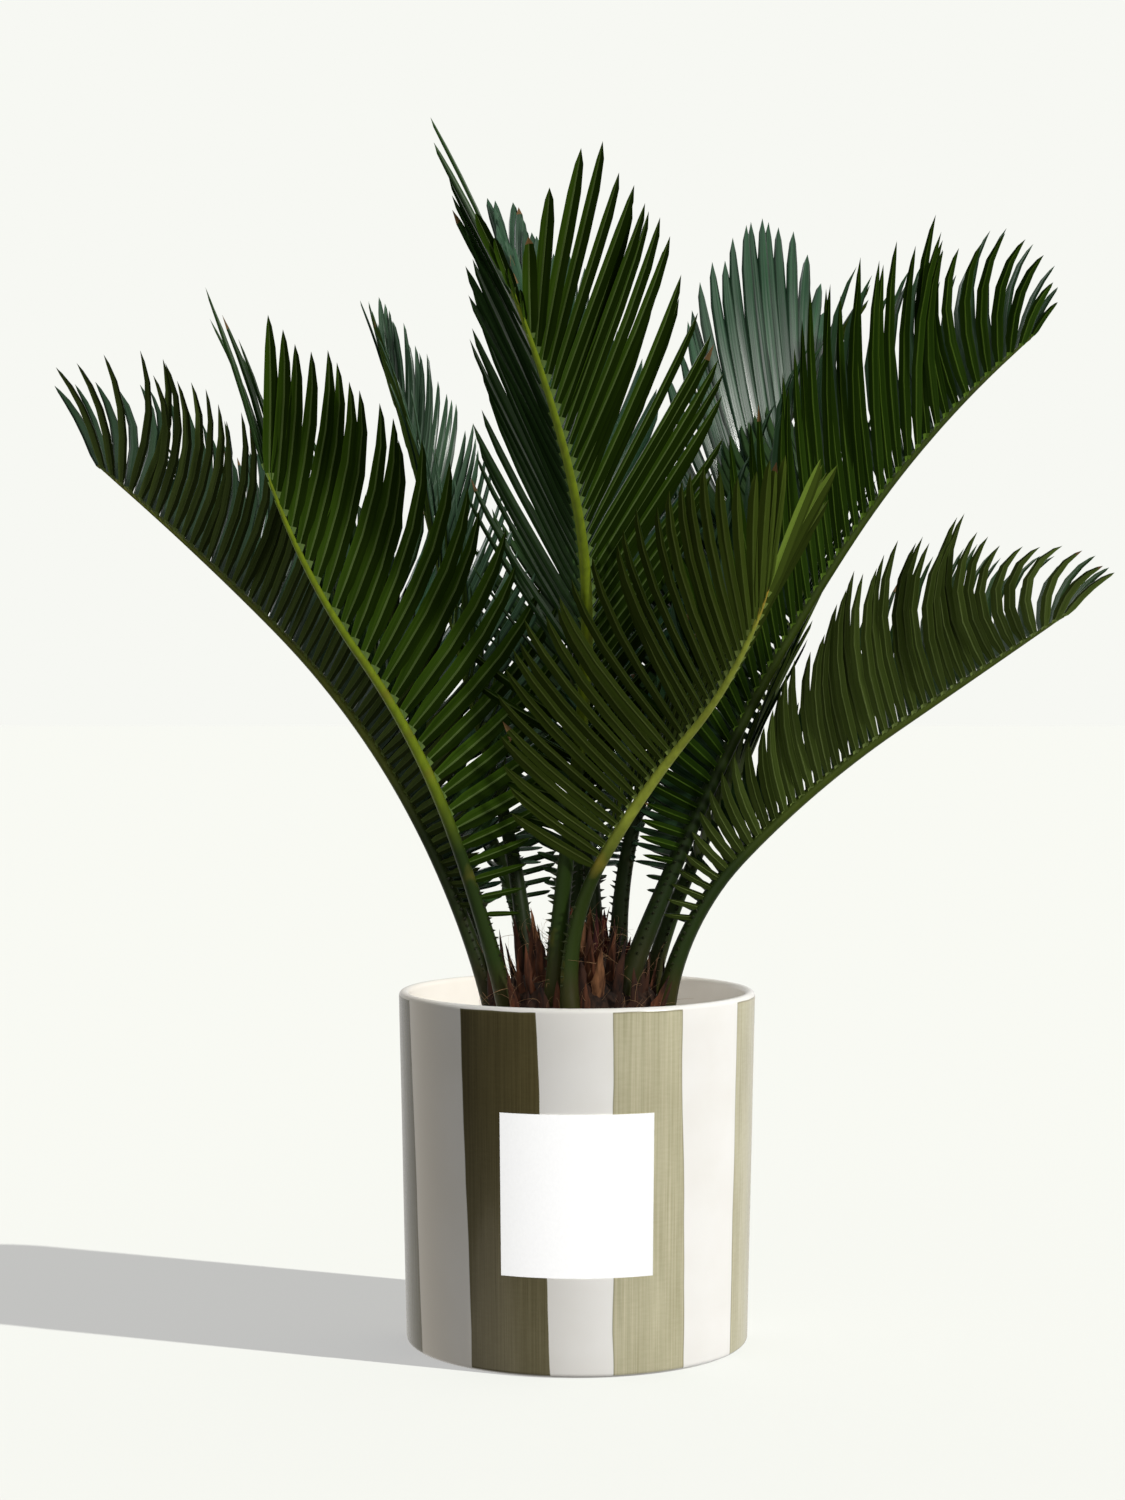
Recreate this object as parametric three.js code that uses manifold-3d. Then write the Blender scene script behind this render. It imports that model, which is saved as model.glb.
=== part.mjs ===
// A young sago palm in a glazed ceramic pot.
// Millimetres, +Z up. The origin is the centre of the pot's underside, and the label faces -Y.
import * as THREE from 'three';
import { mergeVertices } from 'three/addons/utils/BufferGeometryUtils.js';
import Module from 'manifold-3d';

const wasm = await Module();
wasm.setup();

// ---------------------------------------------------------------- driving dimensions

const gap = 0.3; // left between any two pieces

const pot = {
  height: 186,
  footRadius: 91,
  rimRadius: 95,
  wall: 5.5,
  floor: 8,
  edge: 2.6, // rounding of the rim and of the bottom edge
  heel: 9, // rounding inside, between wall and floor
  segments: 44,
};

const label = { width: 79, height: 82, middle: 92, thickness: 0.5, clear: 0.45, columns: 12 };

const soil = { top: 150 };

// The trunk is a squat bulb: [height, radius] from its foot in the soil to its crown.
const trunk = {
  profile: [[134, 34], [144, 41], [156, 47], [168, 49], [178, 46], [188, 39], [197, 28], [204, 15], [207, 0]],
  segments: 18,
};

// Pointed scale leaves stand between the frond stalks, in rings around the growing point.
const bud = {
  centre: [5, -4],
  socket: { radius: 17, floor: 186, top: 250, segments: 16 },
  core: { profile: [[13.5, 186.3], [15.5, 196], [9, 208], [0, 216]], segments: 12 },
  rings: [
    { count: 8, radius: 11, foot: 187.5, tip: 221, lean: 5, width: 9, turn: 0 },
    { count: 5, radius: 5, foot: 187.5, tip: 234, lean: 2, width: 8, turn: 20 },
  ],
};
const outerScales = [
  { count: 9, radius: 33, foot: 184, tip: 211, lean: 6, width: 11, turn: 10 },
  { count: 7, radius: 24, foot: 192, tip: 219, lean: 4, width: 10, turn: 0 },
];
const scaleFoot = { inner: -3, outer: 4 }; // how far a scale's foot reaches in and out of its ring
const scaleSteps = [0, 3, 6]; // by which one scale after another ends lower

// Every frond rises at four angles along its length and turns evenly from its heading by its sweep.
// Headings are degrees from +X, towards +Y. The foot is where the stalk leaves the trunk, and leaflet
// is the longest leaflet. A frond's own lists go before those of the leaflets below, and those of its
// right or left row, seen from its foot towards its tip, before both.
const riseStations = [0, 0.3, 0.65, 1];
const fronds = {
  frond_left: {
    heading: 184, sweep: 6, rise: [74, 62, 45, 40], length: 358, foot: [-46, 0, 179], leaflet: 112,
    angles: [105, 90, 84, 79, 74, 76, 78, 76, 36],
    bends: [0, 6, 12, 18, 22, 34, 42, 44, 26],
    lengths: [0.15, 0.3, 0.58, 0.87, 1.02, 0.86, 0.82, 0.78, 0.46],
  },
  frond_front_left: {
    heading: 216, sweep: 22, rise: [73, 65, 44, 61], length: 325, foot: [-37, -25, 180], leaflet: 118,
    bends: [0, 8, 16, 24, 32, 30, 22, 14, 4],
    lengths: [0.15, 0.3, 0.58, 0.87, 1.02, 0.9, 0.8, 0.7, 0.6],
    right: {
      opening: 12,
      angles: [105, 88, 80, 70, 54, 38, 28, 20, 8],
      lengths: [0.15, 0.3, 0.58, 0.87, 1.02, 0.92, 0.9, 0.86, 0.78],
    },
    left: { opening: 34, angles: [105, 88, 80, 72, 60, 46, 38, 30, 16] },
  },
  frond_front_tall: {
    heading: 300, sweep: -60, rise: [85, 62, 41, 50], length: 426, foot: [-11.5, -37, 186], leaflet: 130,
    bends: [0, 6, 12, 18, 20, 12, 8, 0, -10],
    right: {
      opening: 40,
      angles: [105, 90, 80, 60, 36, 20, 24, 32, 30],
      lengths: [0.15, 0.3, 0.58, 0.84, 0.92, 0.78, 0.66, 0.56, 0.56],
    },
    left: {
      opening: 34,
      angles: [105, 92, 87, 75, 55, 42, 32, 10, -14],
      lengths: [0.15, 0.3, 0.58, 0.87, 0.95, 0.83, 0.8, 0.1, 0.3],
    },
  },
  frond_front_right: {
    heading: 330, sweep: -34, rise: [96, 54, 38, 57], length: 268, foot: [-3.5, -47, 182], leaflet: 110,
    opening: 36,
    angles: [105, 90, 84, 79, 70, 50, 36, 20, 8],
    bends: [0, 6, 12, 18, 26, 26, 18, 8, 0],
    lengths: [0.15, 0.3, 0.58, 0.87, 1, 0.92, 0.8, 0.7, 0.62],
  },
  frond_right_high: {
    heading: 8, sweep: -14, rise: [69, 64, 56, 40], length: 404, foot: [27, -24, 194], leaflet: 132,
    opening: 26,
    angles: [105, 86, 68, 50, 42, 52, 66, 62, 24],
    bends: [0, 4, 6, 8, 6, 20, 46, 52, 24],
    lengths: [0.15, 0.3, 0.58, 0.87, 1.08, 0.86, 0.6, 0.6, 0.14],
    left: {
      angles: [105, 86, 74, 64, 56, 56, 66, 62, 24],
      bends: [0, 20, 44, 62, 58, 44, 46, 52, 24],
    },
  },
  frond_right_low: {
    heading: 352, sweep: -6, rise: [80, 46, 34, 34], length: 303, foot: [47, -6, 178], leaflet: 128,
    angles: [105, 86, 74, 66, 74, 80, 88, 84, 20],
    bends: [0, 10, 20, 24, 28, 50, 72, 100, 30],
    lengths: [0.15, 0.24, 0.4, 0.56, 0.92, 0.8, 0.58, 0.5, 0.24],
  },
  frond_right_inner: {
    heading: 25, sweep: 42, rise: [74, 54, 62, 64], length: 320, foot: [40, 15, 189], leaflet: 104,
  },
  frond_back_right: {
    heading: 50, sweep: -6, rise: [94, 57, 64, 46], length: 390, foot: [23, 28, 192], leaflet: 142,
    bends: [0, 8, 14, 16, 14, 12, 10, 8, 6],
    right: {
      opening: 46,
      angles: [105, 88, 80, 72, 60, 52, 52, 50, 40],
      lengths: [0.15, 0.3, 0.46, 0.68, 0.86, 0.9, 0.8, 0.6, 0.3],
    },
    left: {
      opening: 26,
      angles: [105, 88, 78, 64, 46, 36, 34, 30, 20],
      lengths: [0.15, 0.3, 0.46, 0.62, 0.74, 0.96, 1.05, 0.86, 0.2],
    },
  },
  frond_back_tall: {
    heading: 110, sweep: 4, rise: [82, 77, 69, 62], length: 412, foot: [11, 38, 190], leaflet: 110,
    angles: [105, 90, 84, 72, 50, 30, 20, 14, 8],
    bends: [0, 6, 12, 18, 24, 20, 14, 8, 0],
    lengths: [0.15, 0.3, 0.58, 0.87, 1, 0.86, 0.74, 0.66, 0.6],
    right: { opening: 28 },
    left: { opening: 14 },
  },
  frond_back_left: {
    heading: 145, sweep: -6, rise: [85, 70, 73, 66], length: 350, foot: [-27, 22, 196], leaflet: 84,
    angles: [105, 90, 80, 64, 40, 26, 22, 18, 10],
    bends: [0, 6, 12, 18, 20, 16, 12, 8, 0],
    lengths: [0.15, 0.3, 0.58, 0.87, 0.92, 0.84, 0.74, 0.6, 0.5],
    right: { opening: 10 },
    left: { opening: 28 },
  },
  frond_back_low: {
    heading: 84, sweep: -10, rise: [74, 52, 42, 38], length: 350, foot: [-3, 46, 180], leaflet: 110,
  },
  frond_left_rear: {
    heading: 160, sweep: -6, rise: [73, 58, 47, 42], length: 325, foot: [-42, 18, 181], leaflet: 110,
  },
  frond_rear_left: {
    heading: 126, sweep: 6, rise: [72, 50, 40, 36], length: 335, foot: [-22, 40, 181], leaflet: 110,
  },
};

const stalk = {
  buried: 13, // length of the stalk's foot inside the trunk
  buriedRadius: 4.2,
  sides: 4,
  lengths: 12, // straight lengths that follow the frond's curve
  stations: [0, 0.1, 0.25, 0.5, 0.8, 1],
  radii: [5.2, 4.5, 3.8, 2.9, 1.8, 1.3],
};

// Leaflets stand in two rows that make a V on the upper side of the stalk. The lists run along the
// whole frond, from its foot to its tip.
const leaflets = {
  pairs: 20,
  stagger: 0.12, // of the distance between pairs, one row ahead and the other behind
  stations: [0.15, 0.25, 0.32, 0.42, 0.6, 0.8, 0.87, 0.93, 1],
  opening: 42, // half of the V, degrees
  angles: [105, 90, 84, 79, 70, 60, 54, 46, 30], // from the stalk, where a leaflet starts
  bends: [0, 6, 12, 18, 26, 34, 36, 32, 16], // by which a leaflet's tip turns towards the frond's tip
  lengths: [0.15, 0.3, 0.58, 0.87, 1, 0.86, 0.76, 0.64, 0.46],
  width: 9,
  thickness: 1.7,
  root: { width: 3.6, thickness: 0.9 },
  widestShare: 0.42, // of a leaflet's length
  shorterShares: [1, 0.8, 0.62, 0.45], // tried in turn where a leaflet would touch another frond
};

// ---------------------------------------------------------------- materials

const material = (color, roughness) => new THREE.MeshStandardMaterial({ color, roughness, metalness: 0 });
const glaze = material('#e9e6de', 0.25);
const paper = material('#fbfaf6', 0.6);
const earth = material('#4a382a', 0.95);
const bark = material('#6b4630', 0.9);
const scale = material('#8a5a3a', 0.9);
const leafGreen = material('#3f5a28', 0.5);

// ---------------------------------------------------------------- helpers

const radians = THREE.MathUtils.degToRad;
const vector = (x, y, z) => new THREE.Vector3(x, y, z);

// The value at a share, on straight lines between stations.
function blend(stations, values, share) {
  let i = 1;
  while (i < stations.length - 1 && share > stations[i]) i += 1;
  const part = (share - stations[i - 1]) / (stations[i] - stations[i - 1]);
  return THREE.MathUtils.lerp(values[i - 1], values[i], THREE.MathUtils.clamp(part, 0, 1));
}

// A closed skin over a row of rings of points. A ring of one point is a tip.
function skin(rings) {
  const positions = rings.flat().flatMap((p) => [p.x, p.y, p.z]);
  const index = [];
  const first = rings[0];
  for (let i = 1; i + 1 < first.length; i += 1) index.push(0, i + 1, i);
  let start = 0;
  for (let r = 0; r + 1 < rings.length; r += 1) {
    const next = start + rings[r].length;
    const sides = Math.max(rings[r].length, rings[r + 1].length);
    for (let i = 0; i < sides; i += 1) {
      const j = (i + 1) % sides;
      if (rings[r].length > 1) index.push(start + i, start + j, next + (rings[r + 1].length > 1 ? i : 0));
      if (rings[r + 1].length > 1) index.push(start + (rings[r].length > 1 ? j : 0), next + j, next + i);
    }
    start = next;
  }
  const last = rings[rings.length - 1];
  for (let i = 1; i + 1 < last.length; i += 1) index.push(start, start + i, start + i + 1);
  const geometry = new THREE.BufferGeometry();
  geometry.setAttribute('position', new THREE.Float32BufferAttribute(positions, 3));
  geometry.setIndex(index);
  return geometry;
}

const weld = 1e-4; // vertices nearer than this are one

function bare(geometry) {
  const copy = geometry.clone();
  copy.deleteAttribute('normal');
  copy.deleteAttribute('uv');
  return mergeVertices(copy, weld);
}

function toSolid(geometry) {
  const merged = bare(geometry);
  return new wasm.Manifold(new wasm.Mesh({
    numProp: 3,
    vertProperties: new Float32Array(merged.attributes.position.array),
    triVerts: new Uint32Array(merged.index.array),
  }));
}

function toGeometry(solid) {
  const { vertProperties, triVerts } = solid.getMesh();
  const geometry = new THREE.BufferGeometry();
  geometry.setAttribute('position', new THREE.Float32BufferAttribute(vertProperties, 3));
  geometry.setIndex(new THREE.Uint32BufferAttribute(triVerts, 1));
  return geometry;
}

// A turned shape around +Z from [radius, height] points that start and end on the axis.
function turned(profile, segments) {
  const points = profile.map(([radius, height]) => new THREE.Vector2(radius, height));
  return new THREE.LatheGeometry(points, segments).rotateX(Math.PI / 2);
}

// Points on a quarter circle in a profile, from one angle to the next in degrees.
function corner(centre, radius, from, to, steps) {
  return Array.from({ length: steps + 1 }, (_, i) => {
    const angle = radians(from + ((to - from) * i) / steps);
    return [centre[0] + radius * Math.cos(angle), centre[1] + radius * Math.sin(angle)];
  });
}

const group = new THREE.Group();
function add(name, geometry, surface) {
  const mesh = new THREE.Mesh(geometry, surface);
  mesh.name = name;
  group.add(mesh);
}

// ---------------------------------------------------------------- pot, label, soil

function outerRadius(height) {
  return THREE.MathUtils.lerp(pot.footRadius, pot.rimRadius, height / pot.height);
}
const innerRadius = (height) => outerRadius(height) - pot.wall;

function potShell() {
  const { edge, height, floor, heel } = pot;
  const foot = corner([outerRadius(edge) - edge, edge], edge, -90, 0, 2);
  const rim = corner([outerRadius(height - edge) - edge, height - edge], edge, 0, 90, 2);
  const rimInside = corner([innerRadius(height - edge) + edge, height - edge], edge, 90, 180, 2);
  const floorCorner = corner([innerRadius(floor + heel) - heel, floor + heel], heel, 0, -90, 2);
  return turned([[0, 0], ...foot, ...rim, ...rimInside, ...floorCorner, [0, floor]], pot.segments);
}

function soilPlug() {
  const heel = pot.heel + gap;
  const foot = pot.floor + gap;
  const plug = turned([
    [0, foot],
    ...corner([innerRadius(foot + heel) - gap - heel, foot + heel], heel, -90, 0, 2),
    [innerRadius(soil.top) - gap, soil.top],
    [0, soil.top],
  ], pot.segments);
  return toGeometry(toSolid(plug).subtract(toSolid(trunkBulb(gap))));
}

// A flat plate bent around the pot, a little clear of its glaze.
function labelSheet() {
  const { width, height, thickness, columns } = label;
  const plate = new THREE.BoxGeometry(width, thickness, height, columns, 1, 1);
  const place = plate.attributes.position;
  for (let i = 0; i < place.count; i += 1) {
    const z = label.middle + place.getZ(i);
    const angle = place.getX(i) / outerRadius(label.middle);
    const radius = outerRadius(z) + label.clear + thickness / 2 - place.getY(i);
    place.setXYZ(i, radius * Math.sin(angle), -radius * Math.cos(angle), z);
  }
  return bare(plate);
}

// ---------------------------------------------------------------- trunk and bud

function trunkBulb(swell = 0) {
  const foot = trunk.profile[0][0] - swell;
  const wall = trunk.profile.map(([z, radius]) => [radius > 0 ? radius + swell : 0, Math.max(z, foot)]);
  return turned([[0, foot], [wall[0][0], foot], ...wall.slice(1)], trunk.segments);
}

// A ring of three-sided pointed scales around a centre.
function scaleRing({ count, radius, foot, tip, lean, width, turn }, [x, y] = [0, 0]) {
  return Array.from({ length: count }, (_, i) => {
    const angle = radians(turn + (360 * i) / count);
    const out = vector(Math.cos(angle), Math.sin(angle), 0);
    const across = vector(-Math.sin(angle), Math.cos(angle), 0);
    const middle = vector(x, y, foot).addScaledVector(out, radius);
    const at = (side, depth) => middle.clone().addScaledVector(across, side).addScaledVector(out, depth);
    const apex = middle.clone().addScaledVector(out, lean).setZ(tip - scaleSteps[i % scaleSteps.length]);
    return toSolid(skin([
      [at(-width / 2, scaleFoot.inner), at(0, scaleFoot.outer), at(width / 2, scaleFoot.inner)],
      [apex],
    ]));
  });
}

function budSolid() {
  const { centre, core, rings } = bud;
  const heart = turned([[0, core.profile[0][1]], ...core.profile], core.segments)
    .translate(...centre, 0);
  return union([toSolid(heart), ...rings.flatMap((ring) => scaleRing(ring, centre))]);
}

// The round hollow at the top of the trunk that the bud stands in.
function budSocket() {
  const { radius, floor, top, segments } = bud.socket;
  return toSolid(turned([[0, floor], [radius, floor], [radius, top], [0, top]], segments)
    .translate(...bud.centre, 0));
}

function trunkSolid(sockets) {
  const whole = union([toSolid(trunkBulb()), ...outerScales.flatMap((ring) => scaleRing(ring))]);
  return largest(whole.subtract(sockets).subtract(budSocket()));
}

const union = (solids) => wasm.Manifold.union(solids);

// Cutting can leave loose scraps behind: the largest body is the piece.
function largest(solid) {
  return solid.decompose().reduce((a, b) => (b.volume() > a.volume() ? b : a));
}

// ---------------------------------------------------------------- fronds

const pathSteps = 60;

function directionAt(frond, share) {
  const rise = radians(blend(riseStations, frond.rise, share));
  const heading = radians(frond.heading + frond.sweep * share);
  return {
    along: vector(Math.cos(rise) * Math.cos(heading), Math.cos(rise) * Math.sin(heading), Math.sin(rise)),
    up: vector(-Math.sin(rise) * Math.cos(heading), -Math.sin(rise) * Math.sin(heading), Math.cos(rise)),
  };
}

function frondPath(frond) {
  const points = [vector(...frond.foot)];
  for (let i = 0; i < pathSteps; i += 1) {
    const { along } = directionAt(frond, (i + 0.5) / pathSteps);
    points.push(points[i].clone().addScaledVector(along, frond.length / pathSteps));
  }
  return points;
}

function frameAt(frond, path, share) {
  const { along, up } = directionAt(frond, share);
  const step = Math.min(Math.floor(share * pathSteps), pathSteps - 1);
  const point = path[step].clone().lerp(path[step + 1], share * pathSteps - step);
  return { point, along, up, side: along.clone().cross(up) };
}

// The stalk runs from its foot in the trunk to the frond's tip; swell makes it fatter all over.
function stalkSolid(frond, path, swell = 0) {
  const ring = ({ point, up, side }, radius) => Array.from({ length: stalk.sides }, (_, i) => {
    const angle = (2 * Math.PI * i) / stalk.sides;
    return point.clone().addScaledVector(up, -radius * Math.cos(angle))
      .addScaledVector(side, -radius * Math.sin(angle));
  });
  const corners = swell / Math.cos(Math.PI / stalk.sides);
  const foot = frameAt(frond, path, 0);
  const buried = { ...foot, point: foot.point.clone().addScaledVector(foot.along, -stalk.buried - swell) };
  const rings = [ring(buried, stalk.buriedRadius + corners)];
  for (let i = 0; i <= stalk.lengths; i += 1) {
    const share = i / stalk.lengths;
    rings.push(ring(frameAt(frond, path, share), blend(stalk.stations, stalk.radii, share) + corners));
  }
  return toSolid(skin(rings));
}

// What a frond's own row, the frond, or every frond has under a name, in that order.
function rowValue(frond, row, name) {
  const ownRow = (row > 0 ? frond.right : frond.left) ?? {};
  return ownRow[name] ?? frond[name] ?? leaflets[name];
}

// One leaflet is a three-sided blade, flat above and keeled below, from inside the stalk to its point.
// It bends more and more towards its tip.
function leafletSolid(frond, path, share, row, lengthShare, swell = 0) {
  const { point, along, up, side } = frameAt(frond, path, share);
  const opening = radians(rowValue(frond, row, 'opening'));
  const out = up.clone().multiplyScalar(Math.cos(opening)).addScaledVector(side, row * Math.sin(opening));
  const below = along.clone().cross(out).multiplyScalar(row);
  const here = (name) => blend(leaflets.stations, rowValue(frond, row, name), share);
  const rootAngle = radians(here('angles'));
  const bend = radians(here('bends'));
  const length = frond.leaflet * here('lengths') * lengthShare;
  const heading = (angle) => along.clone().multiplyScalar(Math.cos(angle))
    .addScaledVector(out, Math.sin(angle));
  const headingAt = (bladeShare) => heading(rootAngle - bend * bladeShare ** 2);
  const near = length * leaflets.widestShare;
  const middle = point.clone().addScaledVector(headingAt(leaflets.widestShare / 2), near);
  const tip = middle.clone().addScaledVector(headingAt((1 + leaflets.widestShare) / 2), length - near + swell);
  const ring = (centre, { width, thickness }) => {
    const across = heading(rootAngle - bend / 2 - Math.PI / 2).multiplyScalar(width / 2 + swell);
    const keel = centre.clone().addScaledVector(below, thickness + swell);
    const upper = centre.clone().addScaledVector(below, -swell);
    return row > 0 ? [upper.clone().add(across), upper.clone().sub(across), keel]
      : [upper.clone().sub(across), upper.clone().add(across), keel];
  };
  return toSolid(skin([ring(point, leaflets.root), ring(middle, leaflets), [tip]]));
}

// Fronds are made in turn. A leaflet that would touch a stalk or an earlier frond is made shorter,
// and left out where no length is clear.
function makeFronds() {
  const names = Object.keys(fronds);
  const paths = names.map((name) => frondPath(fronds[name]));
  const stalks = names.map((name, i) => stalkSolid(fronds[name], paths[i]));
  const made = [...stalks];
  names.forEach((name, n) => {
    const isClear = (solid) => made.every((other, i) => i === n || solid.intersect(other).isEmpty());
    const blades = [];
    for (let i = 0; i < leaflets.pairs; i += 1) {
      for (const row of [1, -1]) {
        const leafyShare = (i + 0.5 + row * leaflets.stagger) / leaflets.pairs;
        const share = THREE.MathUtils.lerp(leaflets.stations[0], 1, leafyShare);
        const lengthShare = leaflets.shorterShares.find((part) => (
          isClear(leafletSolid(fronds[name], paths[n], share, row, part, gap))));
        if (lengthShare) blades.push(leafletSolid(fronds[name], paths[n], share, row, lengthShare));
      }
    }
    made[n] = union([stalks[n], ...blades]);
  });
  return names.map((name, i) => ({ name, solid: made[i], socket: stalkSolid(fronds[name], paths[i], gap) }));
}

// ---------------------------------------------------------------- the plant in its pot

const palm = makeFronds();
const sockets = union(palm.map(({ socket }) => socket));

add('pot', potShell(), glaze);
add('label', labelSheet(), paper);
add('soil', soilPlug(), earth);
add('trunk', toGeometry(trunkSolid(sockets)), bark);
add('bud', toGeometry(largest(budSolid().subtract(sockets))), scale);
palm.forEach(({ name, solid }) => add(name, toGeometry(solid), leafGreen));

export default group;
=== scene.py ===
# A young sago palm in a striped, glazed pot.
# Metres, +Z up. The origin is the centre of the pot's underside, and the label faces -Y.
import math
from random import Random
import bmesh
import bpy
from mathutils import Matrix, Vector, noise
from mathutils.bvhtree import BVHTree


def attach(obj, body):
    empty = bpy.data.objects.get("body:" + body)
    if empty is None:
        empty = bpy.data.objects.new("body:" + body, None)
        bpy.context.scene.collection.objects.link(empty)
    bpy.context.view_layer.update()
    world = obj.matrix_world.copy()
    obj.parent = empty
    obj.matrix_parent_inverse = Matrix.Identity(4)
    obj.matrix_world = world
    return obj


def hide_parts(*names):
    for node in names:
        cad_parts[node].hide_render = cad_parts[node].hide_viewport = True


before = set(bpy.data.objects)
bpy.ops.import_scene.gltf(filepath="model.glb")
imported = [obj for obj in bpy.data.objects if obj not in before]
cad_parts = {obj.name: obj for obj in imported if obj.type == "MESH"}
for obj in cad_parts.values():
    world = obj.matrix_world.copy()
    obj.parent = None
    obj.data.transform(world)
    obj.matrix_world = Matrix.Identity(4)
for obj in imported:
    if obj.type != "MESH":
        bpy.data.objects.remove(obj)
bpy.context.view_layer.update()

mm = 0.001
print("frame loaded:", len(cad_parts), "nodes")


# ---- helpers

def blend(stations, values, share):  # the value at a share, on straight lines between stations
    last = len(stations) - 1
    i = next((k for k in range(1, last) if share <= stations[k]), last)
    part = (share - stations[i - 1]) / (stations[i] - stations[i - 1])
    return values[i - 1] + (values[i] - values[i - 1]) * min(max(part, 0), 1)


def level(angle):
    return Vector((math.cos(angle), math.sin(angle), 0))


def upward(height):
    return Vector((0, 0, height))


def swung(x, y, angle):  # two square axes, turned by an angle from x towards y
    return x * math.cos(angle) + y * math.sin(angle), y * math.cos(angle) - x * math.sin(angle)


def strayVector(random):
    return Vector([random.uniform(-1, 1) for _ in range(3)])


def linked(name, data):
    made = bpy.data.objects.new(name, data)
    bpy.context.scene.collection.objects.link(made)
    return made


def keepPiece(name, shape, materials, nodes, sharpAngle=None):
    mesh = meshFrom(shape, name) if isinstance(shape, bmesh.types.BMesh) else shape
    for material in materials:
        mesh.materials.append(material)
    mesh.shade_smooth()
    if sharpAngle:
        mesh.set_sharp_from_angle(angle=math.radians(sharpAngle))
    piece = linked(name, mesh)
    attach(piece, "root")
    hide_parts(*nodes)


def meshFrom(bm, name):
    mesh = bpy.data.meshes.new(name)
    bm.to_mesh(mesh)
    bm.free()
    return mesh


def closeAndTurnOut(bm):
    bmesh.ops.remove_doubles(bm, verts=bm.verts, dist=0.01 * mm)
    bmesh.ops.recalc_face_normals(bm, faces=bm.faces)


def turnedShape(outline, steps, cuts=0):  # radius and height points, turned round +Z
    bm = bmesh.new()
    points = [bm.verts.new((radius, 0, height)) for radius, height in outline]
    edges = [bm.edges.new(pair) for pair in zip(points, points[1:])]
    if cuts:
        bmesh.ops.subdivide_edges(bm, edges=edges[1:], cuts=cuts)
    bmesh.ops.spin(bm, geom=bm.verts[:] + bm.edges[:], cent=(0, 0, 0), axis=(0, 0, 1), angle=2 * math.pi,
                   steps=steps, use_merge=True)
    closeAndTurnOut(bm)
    return bm


def paintFaces(verts, slotIndex):
    faces = list({face for vert in verts for face in vert.link_faces})
    for face in faces:
        face.material_index = slotIndex
    return faces


def stalkParts(name):
    mesh = bpy.data.objects[name + "_stalk"].data
    return [v.co.copy() for v in mesh.vertices], [tuple(p.vertices) for p in mesh.polygons]


def joined(parts):  # one list of points and one of faces from several of each
    points, faces = [], []
    for ownPoints, ownFaces in parts:
        faces += [tuple(i + len(points) for i in face) for face in ownFaces]
        points += ownPoints
    return points, faces


# ---- materials

class Output:  # an output of a shader node: a sum with it adds the math nodes
    def __init__(self, owner, node, key):
        self.owner, self.node = owner, node
        self.socket = node.outputs[key] if node.outputs else None

    def math(self, operation, *others):
        return addNode(self.owner, "Math", enumerate((self, *others)), operation=operation)


signs = {"add": "ADD", "radd": "ADD", "sub": "SUBTRACT", "mul": "MULTIPLY", "truediv": "DIVIDE",
         "gt": "GREATER_THAN", "lt": "LESS_THAN", "abs": "ABSOLUTE"}
for sign, operation in signs.items():
    setattr(Output, f"__{sign}__", lambda value, *others, kind=operation: value.math(kind, *others))


def fill(node, inputs):
    for key, value in dict(inputs).items():
        socket = node.inputs[key]
        if isinstance(value, Output):
            node.id_data.links.new(value.socket, socket)
        else:
            socket.default_value = (*value, 1) if socket.type == "RGBA" else value


def addNode(owner, kind, inputs=(), output=0, **settings):
    made = owner.node_tree.nodes.new("ShaderNode" + kind)
    for key, value in settings.items():
        setattr(made, key, value)
    fill(made, inputs)
    return Output(owner, made, output)


def splitVector(vector):
    node = addNode(vector.owner, "SeparateXYZ", {0: vector}).node
    return [Output(vector.owner, node, i) for i in range(3)]


def marks(owner, *names):
    return [addNode(owner, "Attribute", output="Fac", attribute_name=name) for name in names]


def spread(value, low, high, toLow=0.0, toHigh=1.0, kind="LINEAR"):
    ends = {"Value": value, "From Min": low, "From Max": high, "To Min": toLow, "To Max": toHigh}
    return addNode(value.owner, "MapRange", ends, interpolation_type=kind)


def smooth(value, low, high, toLow=0.0, toHigh=1.0):
    return spread(value, low, high, toLow, toHigh, "SMOOTHSTEP")


def mixed(share, first, second):
    return addNode(share.owner, "Mix", {0: share, 6: first, 7: second}, 2, data_type="RGBA")


def grain(owner, scale, stretch=(1, 1, 1), detail=3.0, place=None):
    place = place or addNode(owner, "TexCoord", output="Object")
    mapping = addNode(owner, "Mapping", {"Vector": place, "Scale": stretch})
    return addNode(owner, "TexNoise", {"Vector": mapping, "Scale": scale, "Detail": detail})


def link(output, socketName):
    fill(output.owner.node_tree.nodes["Principled BSDF"], {socketName: output})


def relief(height, distance):
    link(addNode(height.owner, "Bump", {"Height": height, "Distance": distance, "Strength": 1.0}), "Normal")


def newMaterial(name, sockets):
    material = bpy.data.materials.new(name)
    material.use_nodes = True
    fill(material.node_tree.nodes["Principled BSDF"], sockets)
    return material


# ---- pot: white glaze with hand-painted stripes

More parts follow.
